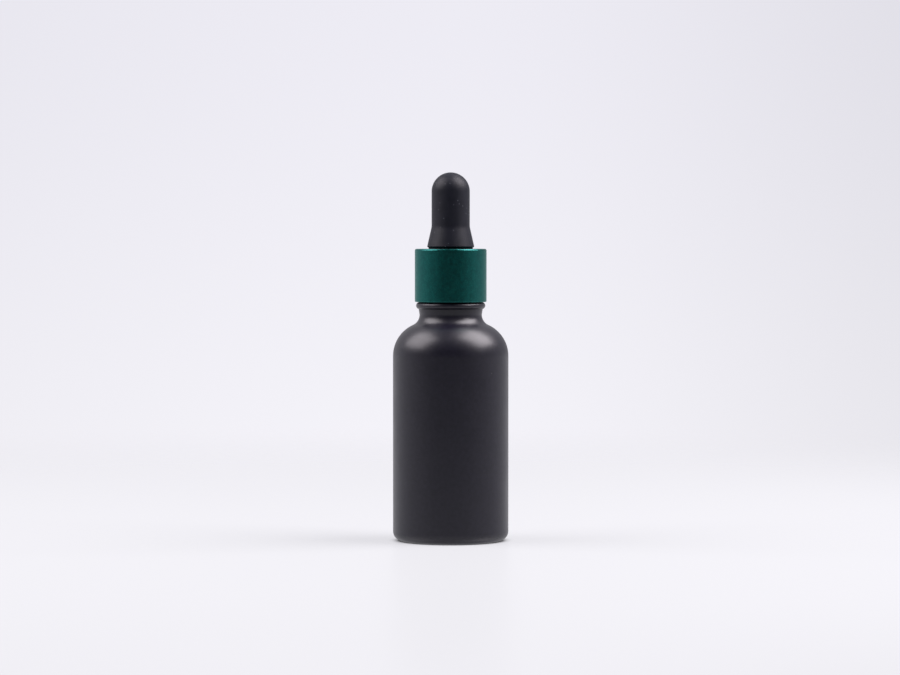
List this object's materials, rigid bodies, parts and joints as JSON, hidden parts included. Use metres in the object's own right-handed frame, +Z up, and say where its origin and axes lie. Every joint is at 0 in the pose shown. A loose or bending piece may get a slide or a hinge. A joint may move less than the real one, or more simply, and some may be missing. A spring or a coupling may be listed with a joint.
{
  "type": "dropper bottle",
  "caption": "Small matte glass bottle with a screw closure that carries a glass pipette and a rubber squeeze bulb, for measuring out liquid drop by drop.",
  "frame": {"origin": "centre of the ring that the bottle stands on", "axes": "+Z up along the bottle's axis; the object is round about Z, and +X and +Y are free"},
  "size_m": [0.033, 0.033, 0.1051],
  "materials": {
    "sprayed_black_glass": "glass sprayed matte black all over its outside, opaque",
    "white_plastic": "natural white polyethylene",
    "black_plastic": "moulded black polypropylene",
    "anodised_green": "satin aluminium, anodised dark green",
    "black_rubber": "matte black rubber",
    "clear_glass": "clear drawn glass tube"
  },
  "bodies": {
    "bottle": {"bottle": "sprayed_black_glass"},
    "washer": {"sealing_washer": "white_plastic"},
    "dropper": {"pipette": "clear_glass"},
    "screw_cap": {"inner_cap": "black_plastic", "collar": "anodised_green"},
    "squeeze_bulb": {"bulb": "black_rubber"}
  },
  "joints": [
    {"name": "lift_off", "type": "slide", "parent": "bottle", "child": "washer", "axis": [0, 0, 1], "range_m": [0, 0.075]},
    {"name": "thread_lift", "type": "slide", "parent": "washer", "child": "dropper", "axis": [0, 0, 1], "range_m": [0, 0.0045]},
    {"name": "cap_turn", "type": "hinge", "parent": "dropper", "child": "screw_cap", "pos_m": [0, 0, 0.0789], "axis": [0, 0, 1], "range_deg": [0, 540]},
    {"name": "bulb_squeeze", "type": "slide", "parent": "dropper", "child": "squeeze_bulb", "axis": [1, 0, 0], "range_m": [0, 0.0035], "stiffness_N_per_m": 300, "deforming": ["bulb"]}
  ],
  "couplings": [
    {"joint": "cap_turn", "follows": "thread_lift", "rad_per_m": 2094.4}
  ]
}
